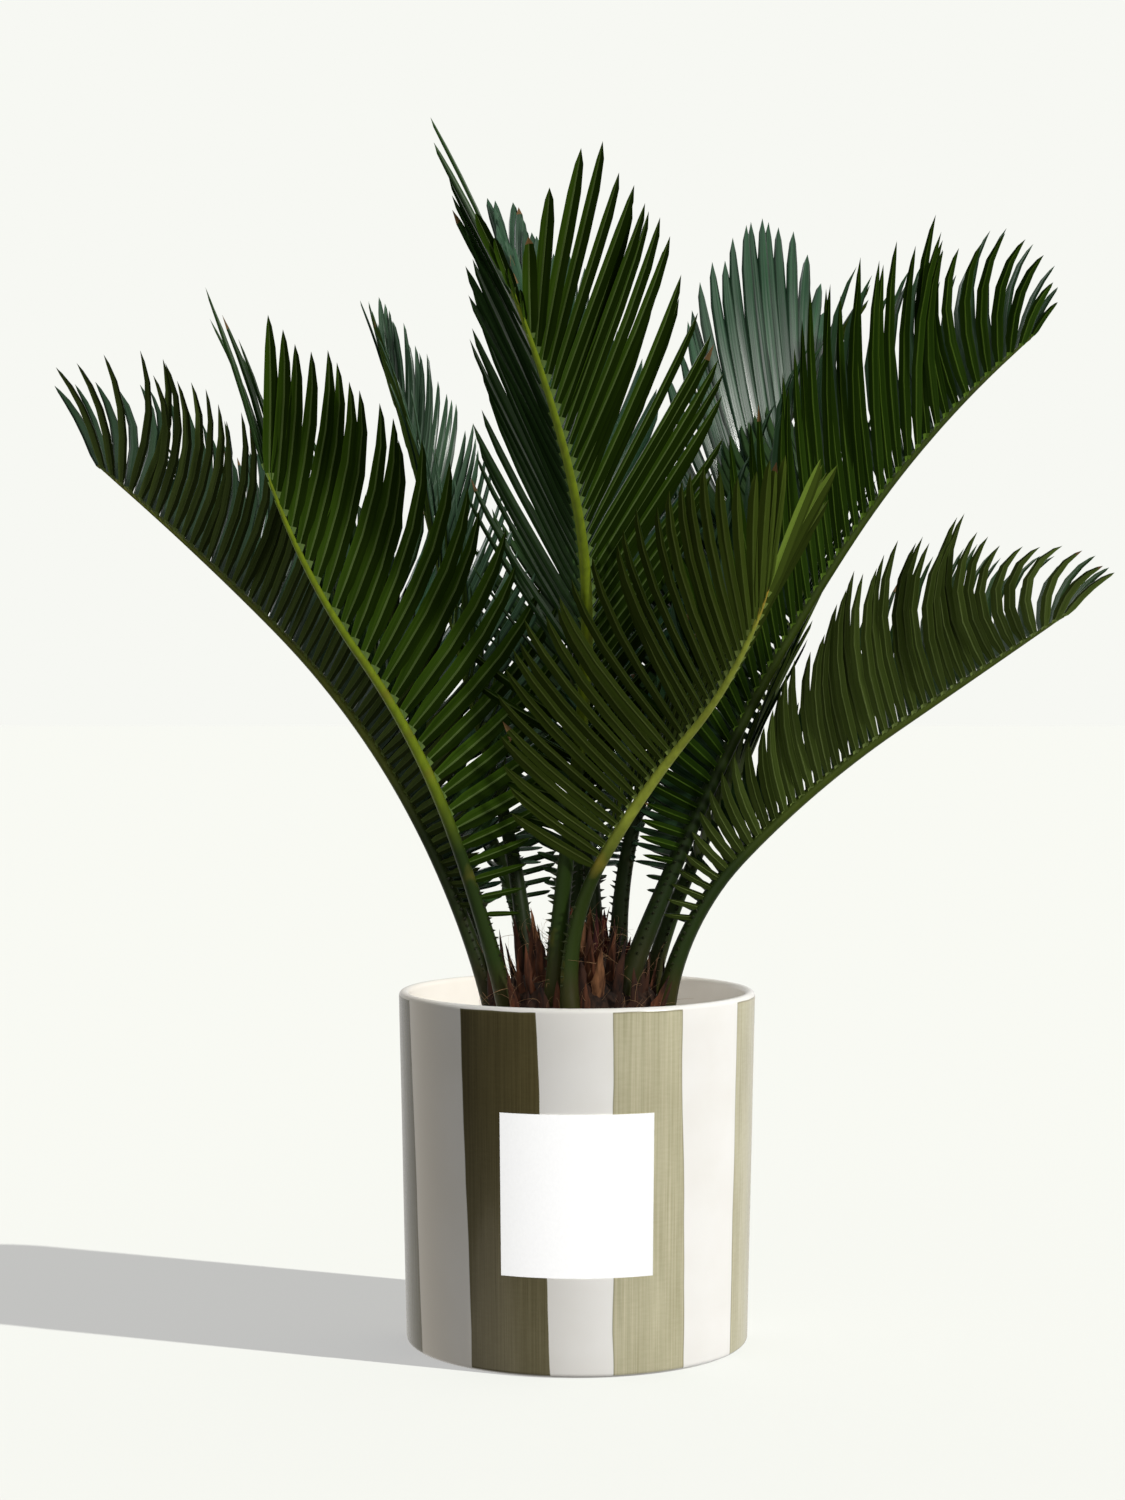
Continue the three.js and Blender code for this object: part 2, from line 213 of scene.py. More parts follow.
pot = dict(
    height=186 * mm, footRadius=91 * mm, rimRadius=95 * mm, wall=5.5 * mm, floor=8 * mm, edge=2.6 * mm,
    heel=9 * mm, steps=168, cornerSteps=6, wallSteps=16, unevenScale=14, uneven=0.12 * mm,
)
stripes = dict(  # where the colour changes, in degrees from -Y towards +X, at the rim and at the foot
    rim=[-171, -146, -119, -96, -66.8, -38.4, -12.4, 10.8, 34.2, 60.8, 89, 113, 140, 164],
    foot=[-168, -147, -122, -93, -61.4, -35.8, -8.5, 11.6, 36.9, 60.4, 90, 116, 139, 167],
    wobble=0.7, wobblePitch=60 * mm, wobbleStep=7.3, blur=0.16, darkEdge=0.6, edgeStrength=0.6,
    top=184.3 * mm, topWobble=0.5 * mm, topBlur=0.2 * mm, topLine=1.3 * mm, start=(0.6 * mm, 1.6 * mm),
    # where shade is painted on the left green stripes: its span in degrees, its growth with height and its
    # easing towards the left
    shadedSpan=(-97, -6), shadeRise=(0.02, 0.14, 0.8, 0.98), shadeEasing=(-75.0, -48.0, 0.92, 1.0),
)
brushwork = [  # the share, stretch and detail of the streaks, the fine lines, the weave and the clouds
    (0.5, (1.5, 1, 9), 3.0), (0.3, (4.2, 1, 30), 2.0),
    (0.12, (0.25, 1, 700), 2.0), (0.35, (0.12, 1, 16), 2.0),
]
glazeColours = dict(
    # the dark pair after the paint colours on the next line is painted shade for the left green stripes
    paint=[(0.325, 0.3, 0.178), (0.62, 0.585, 0.415)], paintedShade=[(0.05, 0.038, 0.01), (0.115, 0.094, 0.034)],
    white=[(0.84, 0.825, 0.79), (0.87, 0.86, 0.835)], inside=[(0.8, 0.76, 0.69), (0.83, 0.795, 0.73)],
    # the second colour on the next line is painted warm shade for the white glaze on the pot's left
    stripeEdge=(0.15, 0.14, 0.075), paintedWarmShade=(0.8, 0.745, 0.65), biscuit=(0.62, 0.53, 0.42),
)


def outerRadius(z):
    return pot["footRadius"] + (pot["rimRadius"] - pot["footRadius"]) * z / pot["height"]


def cornerPoints(centreRadius, centreZ, radius, start, end):
    steps = pot["cornerSteps"]
    angles = [math.radians(start + (end - start) * i / steps) for i in range(steps + 1)]
    return [(centreRadius + radius * math.cos(a), centreZ + radius * math.sin(a)) for a in angles]


def potProfile():
    edge, height, heel, floor, wall = (pot[k] for k in ("edge", "height", "heel", "floor", "wall"))
    outside = cornerPoints(outerRadius(edge) - edge, edge, edge, -90, 0)
    rise = [z * (height - 2 * edge) / pot["wallSteps"] + edge for z in range(1, pot["wallSteps"])]
    outside += [(outerRadius(z), z) for z in rise]
    outside += cornerPoints(outerRadius(height - edge) - edge, height - edge, edge, 0, 90)
    inside = cornerPoints(outerRadius(height - edge) - wall + edge, height - edge, edge, 90, 180)
    inside += [(outerRadius(z) - wall, z) for z in reversed(rise) if z > floor + heel]
    inside += cornerPoints(outerRadius(floor + heel) - wall - heel, floor + heel, heel, 0, -90)
    return [(0, 0)] + outside + inside + [(0, floor)]


def glazeMaterial():
    glaze = newMaterial("striped glaze", {"Roughness": 0.18, "Specular IOR Level": 0.3, "Coat Weight": 0.1,
                                          "Coat Roughness": 0.08})
    x, y, z = splitVector(addNode(glaze, "TexCoord", output="Object"))
    angle = x.math("ARCTAN2", y * -1.0) * math.degrees(1)
    green, line = 1.0, 0.0  # the stripe at the back, where the angle jumps, is green
    for i, (rim, foot) in enumerate(zip(stripes["rim"], stripes["foot"])):
        place = addNode(glaze, "CombineXYZ", {0: stripes["wobbleStep"] * i, 2: z / stripes["wobblePitch"]})
        wave = addNode(glaze, "TexNoise", {"Vector": place, "Scale": 1.0, "Detail": 1.5})
        bend = spread(wave, 0.2, 0.8, -stripes["wobble"], stripes["wobble"])
        away = angle - spread(z, 0.0, pot["height"], foot, rim) - bend
        green = green + smooth(away, -stripes["blur"], stripes["blur"], 0.0, 1.0 if i % 2 else -1.0)
        line = line + smooth(abs(away), 0.0, stripes["darkEdge"], 1.0, 0.0)
    across = addNode(glaze, "CombineXYZ", {0: angle, 2: z})
    topEdge = grain(glaze, 1.0, (0.09, 1, 1), 1.0, across)
    below = spread(topEdge, 0.3, 0.7, stripes["top"] - stripes["topWobble"], stripes["top"]) - z
    painted = smooth(below, -stripes["topBlur"], stripes["topBlur"])
    topLine = smooth(abs(below), 0.0, stripes["topLine"], 1.0, 0.0)
    lean = (pot["rimRadius"] - pot["footRadius"]) / pot["height"]
    reach = (x * x + y * y).math("SQRT") - z * lean
    outside = reach > pot["footRadius"] - pot["wall"] / 2
    mask = green * painted * (outside * smooth(z, *stripes["start"]))
    brushed = sum(grain(glaze, 1.0, stretch, detail, across) * part for part, stretch, detail in brushwork)
    stroke = spread(brushed, 0.4, 0.87)
    # painted shade: the green stripes on the pot's left are painted much darker, more so higher up,
    # standing in for the shade on that side
    first, last = stripes["shadedSpan"]
    paintedShade = (angle > first) * (angle < last) * spread(z, *stripes["shadeRise"])
    paintedShade = paintedShade * spread(angle, *stripes["shadeEasing"])
    paint = mixed(paintedShade, mixed(stroke, *glazeColours["paint"]), mixed(stroke, *glazeColours["paintedShade"]))
    edges = (line + topLine).math("MINIMUM", 1.0) * stripes["edgeStrength"]
    paint = mixed(edges, paint, glazeColours["stripeEdge"])
    mottle = grain(glaze, 28.0)
    white, inside = (mixed(spread(mottle, 0.35, 0.65), *glazeColours[key]) for key in ("white", "inside"))
    paintedWarmShade = smooth(angle, -62.0, -38.0, 0.9, 0.0)  # painted warm shade: the white glaze turns to a warm shaded tone on the pot's left, away from the light
    white = mixed(outside, inside, mixed(paintedWarmShade, white, glazeColours["paintedWarmShade"]))
    white = mixed(spread(z, 0.2 * mm, 0.5 * mm), glazeColours["biscuit"], white)
    link(mixed(mask, white, paint), "Base Color")
    relief(mottle * 0.4 + mask * brushed, 0.12 * mm)
    return glaze


def buildPot():
    bm = turnedShape(potProfile(), pot["steps"])
    for vert in bm.verts:  # the slight unevenness of a pot thrown by hand
        if vert.co.z > pot["edge"]:
            outward = Vector((vert.co.x, vert.co.y, 0)).normalized()
            vert.co += outward * noise.noise(vert.co * pot["unevenScale"]) * pot["uneven"]
    keepPiece("pot_shell", bm, [glazeMaterial()], ["pot"])


buildPot()
print("pot done")


# ---- label: a bare white paper square

label = dict(
    width=79 * mm, height=82 * mm, middle=92 * mm, thickness=0.35 * mm, clear=0.5 * mm, columns=60, rows=16,
)


def paperMaterial():
    paper = newMaterial("label paper", {"Roughness": 0.62})
    texture = grain(paper, 900.0, (1, 1, 0.6), 4.0)
    link(mixed(spread(texture, 0.3, 0.7), (0.93, 0.93, 0.925), (0.96, 0.96, 0.955)), "Base Color")
    relief(texture, 0.03 * mm)
    return paper


def buildLabel():
    bm = bmesh.new()
    size = Matrix.Diagonal((label["width"] / 2, label["height"] / 2, 1, 1))
    bmesh.ops.create_grid(bm, x_segments=label["columns"], y_segments=label["rows"], size=1, matrix=size)
    for vert in bm.verts:
        z = label["middle"] + vert.co.y
        angle = vert.co.x / outerRadius(label["middle"])
        radius = outerRadius(z) + label["clear"]
        vert.co = (radius * math.sin(angle), -radius * math.cos(angle), z)
    bmesh.ops.solidify(bm, geom=bm.faces[:], thickness=label["thickness"])
    closeAndTurnOut(bm)
    keepPiece("label_sheet", bm, [paperMaterial()], ["label"], 40)


buildLabel()
print("label done")


# ---- fronds: the same rule as in the part's source, carried to finer leaflets

def newFrond(heading, sweep, rise, length, foot, leaflet, tone, **own):
    return dict(own, heading=heading, sweep=sweep, rise=rise, length=length, foot=foot, leaflet=leaflet,
                tone=tone)


riseStations = [0, 0.3, 0.65, 1]
# Degrees and millimetres. The heading is from +X towards +Y. The stalk leaves the trunk at the foot.
# A frond's own lists go before those of all leaflets, and those of its right or left row before both.
# Each frond's tone picks lighter or darker copies of the same colours: partly the frond's own colour and
# partly painted light and shade, by how much light and sheen it should catch.
fronds = {
    "frond_left": newFrond(
        184, 6, [74, 62, 45, 40], 358, (-46, 0, 179), 112, "shade", shape="slender", spacing=6.0, width=5.4,
        narrowest=5.0, unruly=1.6,
        angles=[105, 90, 84, 79, 74, 76, 78, 76, 36], bends=[0, 6, 12, 18, 22, 34, 42, 44, 26],
        lengths=[0.15, 0.3, 0.58, 0.87, 1.02, 0.86, 0.82, 0.78, 0.46],
    ),
    "frond_front_left": newFrond(
        216, 22, [73, 65, 44, 61], 325, (-37, -25, 180), 118, "fresh", shape="slender", spacing=10,
        width=8.8, narrowest=7.6,
        bends=[0, 8, 16, 24, 32, 30, 22, 14, 4], lengths=[0.15, 0.3, 0.58, 0.87, 1.02, 0.9, 0.8, 0.7, 0.6],
        right=dict(
            opening=12, angles=[105, 88, 80, 70, 54, 38, 28, 20, 8],
            lengths=[0.15, 0.3, 0.58, 0.87, 1.02, 0.92, 0.9, 0.86, 0.78],
            twist=[9, 9, 9, 0, -6, -18, -24, -25, -26],
        ),
        left=dict(opening=34, angles=[105, 88, 80, 72, 60, 46, 38, 30, 16]),
    ),
    "frond_front_tall": newFrond(
        300, -60, [85, 62, 41, 50], 426, (-11.5, -37, 186), 130, "fresh", first=0.2, spacing=8.2, width=7.8,
        narrowest=7.0,
        bends=[0, 6, 12, 18, 20, 12, 8, 0, -10],
        right=dict(
            opening=40, sparseFrom=0.8, angles=[105, 90, 80, 60, 36, 20, 24, 32, 30],
            lengths=[0.15, 0.3, 0.58, 0.84, 0.92, 0.78, 0.66, 0.56, 0.56],
            twist=[0, 12, 28, 48, 60, 44, 28, 16, 14],
        ),
        left=dict(
            opening=34, angles=[105, 92, 87, 75, 55, 42, 32, 10, -14],
            lengths=[0.15, 0.3, 0.58, 0.87, 0.95, 0.83, 0.8, 0.1, 0.3],
        ),
    ),
    "frond_front_right": newFrond(
        330, -34, [96, 54, 38, 57], 268, (-3.5, -47, 182), 110, "bright", opening=36, first=0.27, width=7,
        angles=[105, 90, 84, 79, 70, 50, 36, 20, 8], bends=[0, 6, 12, 18, 26, 26, 18, 8, 0],
        lengths=[0.15, 0.3, 0.58, 0.87, 1, 0.92, 0.8, 0.7, 0.62],
        left=dict(twist=[9, 9, 20, 40, 54, 60, 60, 60, 60]),
    ),
    "frond_right_high": newFrond(
        8, -14, [69, 64, 56, 40], 404, (27, -24, 194), 132, "deep", shape="slender", opening=26, stout=1.2,
        spacing=7.6, width=6.2, narrowest=5.4, unruly=1.6,
        angles=[105, 86, 68, 50, 42, 52, 66, 62, 24], bends=[0, 4, 6, 8, 6, 20, 46, 52, 24],
        lengths=[0.15, 0.3, 0.58, 0.87, 1.08, 0.86, 0.6, 0.6, 0.14],
        left=dict(
            angles=[105, 86, 74, 64, 56, 56, 66, 62, 24], bends=[0, 20, 44, 62, 58, 44, 46, 52, 24],
            twist=[9, 9, 9, 9, 9, 20, 36, 44, 44],
        ),
    ),
    "frond_right_low": newFrond(
        352, -6, [80, 46, 34, 34], 303, (47, -6, 178), 128, "olive", shape="slender", stout=1.12,
        spacing=6.2, width=6.2, narrowest=5.8, unruly=0.9,
        angles=[105, 86, 74, 66, 74, 80, 88, 84, 20], bends=[0, 10, 20, 24, 28, 50, 72, 100, 30],
        lengths=[0.15, 0.24, 0.4, 0.56, 0.92, 0.8, 0.58, 0.5, 0.24],
    ),
    "frond_right_inner": newFrond(25, 42, [74, 54, 62, 64], 320, (40, 15, 189), 104, "olive"),
    "frond_back_right": newFrond(
        50, -6, [94, 57, 64, 46], 390, (23, 28, 192), 142, "dark", spacing=7.6, width=7.8, narrowest=7.4,
        bends=[0, 8, 14, 16, 14, 12, 10, 8, 6],
        right=dict(
            opening=46, angles=[105, 88, 80, 72, 60, 52, 52, 50, 40],
            lengths=[0.15, 0.3, 0.46, 0.68, 0.86, 0.9, 0.8, 0.6, 0.3],
        ),
        left=dict(
            opening=26, angles=[105, 88, 78, 64, 46, 36, 34, 30, 20],
            lengths=[0.15, 0.3, 0.46, 0.62, 0.74, 0.96, 1.05, 0.86, 0.2],
        ),
    ),
    "frond_back_tall": newFrond(
        110, 4, [82, 77, 69, 62], 412, (11, 38, 190), 110, "dark", width=7.4, narrowest=7.4,
        angles=[105, 90, 84, 72, 50, 30, 20, 14, 8], bends=[0, 6, 12, 18, 24, 20, 14, 8, 0],
        lengths=[0.15, 0.3, 0.58, 0.87, 1, 0.86, 0.74, 0.66, 0.6],
        right=dict(opening=28, twist=[9, 9, 9, 9, -6, -16, -20, -20, -20]),
        left=dict(opening=14, twist=[9, 9, 9, 9, 30, 60, 66, 66, 66]),
    ),
    "frond_back_left": newFrond(
        145, -6, [85, 70, 73, 66], 350, (-27, 22, 196), 84, "pale", shape="slender", width=5.2,
        narrowest=4.8, unruly=1.8,
        angles=[105, 90, 80, 64, 40, 26, 22, 18, 10], bends=[0, 6, 12, 18, 20, 16, 12, 8, 0],
        lengths=[0.15, 0.3, 0.58, 0.87, 0.92, 0.84, 0.74, 0.6, 0.5],
        right=dict(opening=10),
        left=dict(opening=28),
    ),
    "frond_back_low": newFrond(84, -10, [74, 52, 42, 38], 350, (-3, 46, 180), 110, "olive"),
    "frond_left_rear": newFrond(160, -6, [73, 58, 47, 42], 325, (-42, 18, 181), 110, "dark"),
    "frond_rear_left": newFrond(126, 6, [72, 50, 40, 36], 335, (-22, 40, 181), 110, "olive"),
}
pathSteps = 60


def directionAt(frond, share):
    rise = math.radians(blend(riseStations, frond["rise"], share))
    ahead = level(math.radians(frond["heading"] + frond["sweep"] * share))
    return swung(ahead, upward(1), rise)


def frondPath(frond):
    points = [Vector(frond["foot"]) * mm]
    for i in range(pathSteps):
        along = directionAt(frond, (i + 0.5) / pathSteps)[0]
        points.append(points[-1] + along * frond["length"] * mm / pathSteps)
    return points


def frameAt(frond, share):
    along, up = directionAt(frond, share)
    step = min(max(int(share * pathSteps), 0), pathSteps - 1)
    a, b = frond["path"][step], frond["path"][step + 1]
    point = a + (b - a) * (share * pathSteps - step)
    return point, along, up, along.cross(up)


for frond in fronds.values():
    frond["path"] = frondPath(frond)


# ---- stalks: a smooth, slightly flattened stalk with two rows of spines below its leaflets

stalk = dict(
    sides=12, lengths=48, buried=13, flat=0.86, stations=[-0.05, 0, 0.04, 0.12, 0.25, 0.5, 0.8, 0.96, 1],
    radii=[4.6, 6.0, 5.3, 4.6, 3.8, 2.9, 1.75, 0.95, 0.5],
)
spines = dict(
    start=0.03, end=0.2, pitch=4.2, length=(2.4, 4.0), radius=1.1, tip=0.02, sink=0.6, forward=14, stray=12,
    lift=0.25,
)
# the tones are partly the fronds' own colours and partly painted light and shade: lighter and darker copies
# given by how much light each frond should catch
stalkColours = {  # at the foot, on the petiole, on the rachis and at its tip, and the blotches
    "fresh": [(0.036, 0.034, 0.008), (0.02, 0.04, 0.005), (0.22, 0.3, 0.014), (0.19, 0.25, 0.014),
              (0.18, 0.15, 0.02)],
    "olive": [(0.04, 0.036, 0.008), (0.02, 0.038, 0.006), (0.07, 0.1, 0.01), (0.09, 0.12, 0.012),
              (0.08, 0.07, 0.015)],
    "deep": [(0.026, 0.026, 0.006), (0.013, 0.026, 0.004), (0.05, 0.078, 0.008), (0.08, 0.11, 0.01),
             (0.07, 0.06, 0.015)],
    "bright": [(0.036, 0.034, 0.008), (0.024, 0.042, 0.005), (0.36, 0.42, 0.05), (0.6, 0.36, 0.04),
               (0.32, 0.24, 0.03)],
    "pale": [(0.026, 0.024, 0.007), (0.015, 0.028, 0.005), (0.09, 0.13, 0.014), (0.1, 0.14, 0.016),
             (0.08, 0.07, 0.015)],
    "shade": [(0.026, 0.024, 0.007), (0.018, 0.03, 0.005), (0.1, 0.118, 0.012), (0.12, 0.13, 0.012),
              (0.08, 0.06, 0.015)],
    "dark": [(0.026, 0.024, 0.007), (0.015, 0.028, 0.005), (0.046, 0.07, 0.01), (0.06, 0.08, 0.012),
             (0.05, 0.045, 0.015)],
}


def stalkMaterial(name, foot, petiole, rachis, tip, blotch):
    made = newMaterial(name, {"Roughness": 0.48, "Specular IOR Level": 0.16})
    along, over = marks(made, "along", "over")
    ramp = addNode(made, "ValToRGB", {"Fac": along})
    elements = ramp.node.color_ramp.elements
    stops = [(0.0, foot), (0.035, foot), (0.085, petiole), (0.27, petiole), (0.42, rachis), (0.9, rachis),
             (1.0, tip)]
    for place, _ in stops[1:-1]:
        elements.new(place)
    for element, (place, colour) in zip(elements, stops):
        element.position, element.color = place, (*colour, 1)
    long = grain(made, 260.0, (1, 1, 0.12))
    shaded = mixed(spread(long, 0.3, 0.75, 0.0, 0.35), ramp, petiole)
    shaded = mixed(spread(grain(made, 55.0, detail=2.0), 0.62, 0.78, 0.0, 0.55), shaded, blotch)
    link(mixed(over * 0.55, shaded, petiole), "Base Color")
    relief(long, 0.25 * mm)
    return made


stalkLooks = {tone: stalkMaterial(tone + " stalk", *colours) for tone, colours in stalkColours.items()}
spineMaterial = newMaterial("spine tips", {"Base Color": (0.026, 0.034, 0.01), "Roughness": 0.45})


def stalkRadius(frond, share):
    return blend(stalk["stations"], stalk["radii"], share) * frond.get("stout", 1) * mm


def stalkSection(frond, share):
    point, along, up, side = frameAt(frond, max(share, 0))
    point = point + along * min(share, 0) * frond["length"] * mm
    radius = stalkRadius(frond, share)
    matrix = Matrix((side * radius, up * radius * stalk["flat"], along)).transposed().to_4x4()
    matrix.translation = point
    return matrix


def buildStalk(name, frond, random):
    bm = bmesh.new()
    alongLayer, overLayer = (bm.verts.layers.float.new(key) for key in ("along", "over"))
    steps = stalk["lengths"]
    shares = [-stalk["buried"] / frond["length"]] + [i / steps for i in range(steps + 1)]
    sections = [stalkSection(frond, share) for share in shares]
    ring = bmesh.ops.create_circle(bm, cap_ends=True, radius=1, segments=stalk["sides"],
                                   matrix=sections[0])["verts"]
    edges = bm.edges[:]
    for i, (share, here) in enumerate(zip(shares, sections)):
        if i:
            grown = bmesh.ops.extrude_edge_only(bm, edges=edges)["geom"]
            ring = [part for part in grown if isinstance(part, bmesh.types.BMVert)]
            edges = [part for part in grown if isinstance(part, bmesh.types.BMEdge)]
            bmesh.ops.transform(bm, matrix=here @ sections[i - 1].inverted(), verts=ring)
        for vert in ring:
            local = here.inverted() @ vert.co
            vert[alongLayer], vert[overLayer] = max(share, 0), min(max(local.y, 0), 1)
    bmesh.ops.contextual_create(bm, geom=edges)
    closeAndTurnOut(bm)
    growSpines(bm, frond, random)
    keepPiece(name + "_stalk", bm, [stalkLooks[frond["tone"]], spineMaterial], [name], 50)


def growSpines(bm, frond, random):
    part = spines["end"] - spines["start"]
    count = int(part * frond["length"] / spines["pitch"])
    for i in range(count):
        for row in (1, -1):
            share = spines["start"] + part * (i + 0.5 + random.uniform(-0.3, 0.3)) / count
            point, along, up, side = frameAt(frond, share)
            lean = math.radians(spines["forward"] + random.uniform(-spines["stray"], spines["stray"]))
            out = (side * row + up * spines["lift"]).normalized()
            aim = swung(out, along, lean)[0]
            length = random.uniform(*spines["length"]) * mm * min(1, 0.5 + i / count)
            start = point + out * (stalkRadius(frond, share) - spines["sink"] * mm)
            whole = length + spines["sink"] * mm
            turned = Matrix.LocRotScale(start + aim * whole / 2, aim.to_track_quat("Z", "Y"), None)
            cone = bmesh.ops.create_cone(bm, cap_ends=True, segments=4, radius1=spines["radius"] * mm,
                                         radius2=spines["tip"] * mm, depth=whole, matrix=turned)
            paintFaces(cone["verts"], 1)


random = Random(11)
for name, frond in fronds.items():
    buildStalk(name, frond, random)
print("stalks done")


# ---- leaflets: stiff blades with rolled edges and a raised rib below

leaflets = dict(
    spacing=6.6, width=6.6, narrowest=6.2, fill=1.05, slimmest=0.15, stagger=0.25,
    stations=[0.15, 0.25, 0.32, 0.42, 0.6, 0.8, 0.87, 0.93, 1],  # shares of the whole frond
    first=0.15, shape="full", unruly=1, sparseFrom=1, opening=42, rootOut=0.55, rootUp=0.2,
    angles=[105, 90, 84, 79, 70, 60, 54, 46, 30],
    bends=[0, 6, 12, 18, 26, 34, 36, 32, 16],
    lengths=[0.15, 0.3, 0.58, 0.87, 1, 0.86, 0.76, 0.64, 0.46],
    arch=7, twist=[9] * 9, withered=0.05, leafSteps=(0.618, 0.37),
    jitter=dict(angle=1.0, lift=1.5, arch=3, twist=10, length=0.04),
    drift=dict(angle=3.6, lift=5, arch=8, twist=12, length=0.07), driftPitch=0.075, driftSteps=(5.3, 7.1),
)
blade = dict(  # shares along a blade, its widths there in two shapes, and its section in half widths and mm
    shares=[0, 0.025, 0.16, 0.38, 0.6, 0.8, 0.93, 1],
    full=[0.3, 0.6, 1, 1, 1, 0.9, 0.56, 0],
    slender=[0.3, 0.6, 1, 1, 0.92, 0.7, 0.36, 0],
    decurrent=0.2, thinnest=0.35,
    across=[-1, -0.62, 0, 0.62, 1, 0.13, 0, -0.13],
    depth=[1.25, 0, 0.15, 0, 1.25, 0.28, 0.52, 0.28],
    sides=[0, 0, 0, 0, 1, 2, 2, 1],  # 0 upper side, 1 underside, 2 rib
)
bladeMarks = ("across", "along", "leaf", "reach")
tries = [(0, 0), (5, 0), (-5, 0), (9, 0), (-9, 0), (0, 7), (0, -7), (13, 0), (-13, 0)]
shorterShares = [1, 0.8, 0.62, 0.45]
leafPaint = dict(  # shares across a blade, from the edge nearer the frond's foot, at -1, to the other edge
    # on the next line the second entry darkens one half of each underside as painted shade, and the third
    # paints a highlight along the other edge
    margin=(0.45, 0.98, 1.0, 0.3), shadedHalf=(-0.12, 0.12, 0.32, 1.0), rim=(0.84, 0.98, 0.0, 0.7), rimTone=1.2,
    leafTones=(0.74, 1.0), streak=(3.2, 1.5, 97), gleam=(5.0, 0.9, 61), fade=(0.22, 0.72, 1.15, 0.28),
    ageing=(0.86, 1.0, 0.0, 1.0), root=(0.0, 0.06, 0.9, 0.0), rootTone=1.5, upperTone=1.6, underTone=1.7,
)
# the tones are partly the fronds' own colours and partly painted light and shade: lighter and darker copies
# given by how much light and sheen each frond should catch
leafColours = {  # two colours each for the upper side, the underside and the rib, and what else differs
    "fresh": [[(0.018, 0.044, 0.01), (0.032, 0.072, 0.02)], [(0.015, 0.034, 0.002), (0.025, 0.052, 0.004)],
              [(0.07, 0.112, 0.024), (0.106, 0.16, 0.044)], {}],
    "olive": [[(0.016, 0.038, 0.01), (0.028, 0.06, 0.02)], [(0.044, 0.068, 0.011), (0.07, 0.102, 0.021)],
              [(0.11, 0.155, 0.036), (0.15, 0.2, 0.056)], {}],
    "bright": [[(0.016, 0.038, 0.01), (0.028, 0.06, 0.02)], [(0.04, 0.064, 0.008), (0.064, 0.096, 0.014)],
               [(0.1, 0.135, 0.026), (0.14, 0.185, 0.044)], dict(tip=(0.22, 0.33, 0.045))],
    "deep": [[(0.012, 0.034, 0.012), (0.022, 0.052, 0.022)], [(0.011, 0.028, 0.002), (0.02, 0.044, 0.004)],
             [(0.055, 0.11, 0.01), (0.085, 0.15, 0.018)], dict(gloss=0.5)],
    "shade": [[(0.012, 0.03, 0.012), (0.024, 0.048, 0.027)], [(0.026, 0.04, 0.008), (0.042, 0.06, 0.014)],
              [(0.052, 0.078, 0.018), (0.078, 0.105, 0.028)], dict(roughness=0.34)],
    "pale": [[(0.03, 0.07, 0.036), (0.076, 0.14, 0.084)], [(0.03, 0.056, 0.008), (0.048, 0.08, 0.014)],
             [(0.07, 0.11, 0.024), (0.1, 0.15, 0.036)], dict(gloss=1.0, roughness=0.28, ior=1.9)],
    "dark": [[(0.009, 0.036, 0.016), (0.03, 0.08, 0.04)], [(0.018, 0.033, 0.003), (0.029, 0.048, 0.006)],
             [(0.052, 0.084, 0.018), (0.078, 0.115, 0.028)], dict(gloss=1.0, roughness=0.24, ior=2.2)],
}


def brighter(colour, factor):
    return tuple(factor * part for part in colour)


def leafMaterial(name, colour, other, roughness, gloss, side, ior=1.5, tip=None):
    made = newMaterial(name, {"IOR": ior})
    across, along, leaf, reach = marks(made, *bladeMarks)
    place = addNode(made, "CombineXYZ", {0: across, 1: along, 2: leaf})
    streaks = grain(made, 1.0, leafPaint["streak"], 3.0, place)
    mixture = grain(made, 14.0, detail=2.0) * 0.35 + streaks * 0.65
    paint = mixed(spread(mixture, 0.38, 0.62), colour, other)
    if tip:
        paint = mixed(spread(reach, *leafPaint["ageing"]), paint, tip)
    strength = spread(leaf, 0.0, 1.0, *leafPaint["leafTones"])
    if side == "upper":
        strength = strength * smooth(abs(across), *leafPaint["margin"])
    # painted shade: the half of each underside nearer the frond's foot is darker and less glossy, as if
    # turned from the light
    if side == "under":
        strength = strength * smooth(across, *leafPaint["shadedHalf"])
    paint = mixed(strength, (0.0, 0.0, 0.0), paint)
    # painted highlight: a lighter line along the other edge of each underside, partly a lighter margin and
    # partly where the rolled edge catches light
    if side == "under":
        rim = smooth(across, *leafPaint["rim"])
        paint = mixed(rim, paint, brighter(other, leafPaint["rimTone"]))
    if side == "rib":  # its root on the stalk is lighter
        paint = mixed(spread(along, *leafPaint["root"]), paint, brighter(other, leafPaint["rootTone"]))
    link(paint, "Base Color")
    gleam = grain(made, 1.0, leafPaint["gleam"], 2.0, place)
    link(spread(gleam, 0.35, 0.65, roughness - 0.06, roughness + 0.12), "Roughness")
    shine = spread(gleam, 0.36, 0.62, gloss, gloss * 0.15) * spread(along, *leafPaint["fade"])
    link(shine * strength, "Specular IOR Level")
    relief(streaks, 0.05 * mm)
    return made


def leafLook(tone, upper, under, rib, gloss=0.4, roughness=0.32, ior=1.5, tip=None):
    upper = [brighter(colour, leafPaint["upperTone"]) for colour in upper]
    under = [brighter(colour, leafPaint["underTone"]) for colour in under]
    return [
        leafMaterial(tone + " upper", *upper, roughness, gloss, "upper", ior),
        leafMaterial(tone + " underside", *under, 0.55, 0.06, "under", tip=tip),
        leafMaterial(tone + " rib", *rib, 0.5, 0.12, "rib", tip=tip),
    ]


leafLooks = {tone: leafLook(tone, *colours, **own) for tone, (*colours, own) in leafColours.items()}
witheredTip = newMaterial("withered tips", {"Base Color": (0.16, 0.085, 0.022), "Roughness": 0.7})


def rowValue(frond, row, key):  # from the frond's own row, the frond, or all leaflets
    ownRow = frond.get("right" if row > 0 else "left", {})
    return ownRow.get(key, frond.get(key, leaflets[key]))


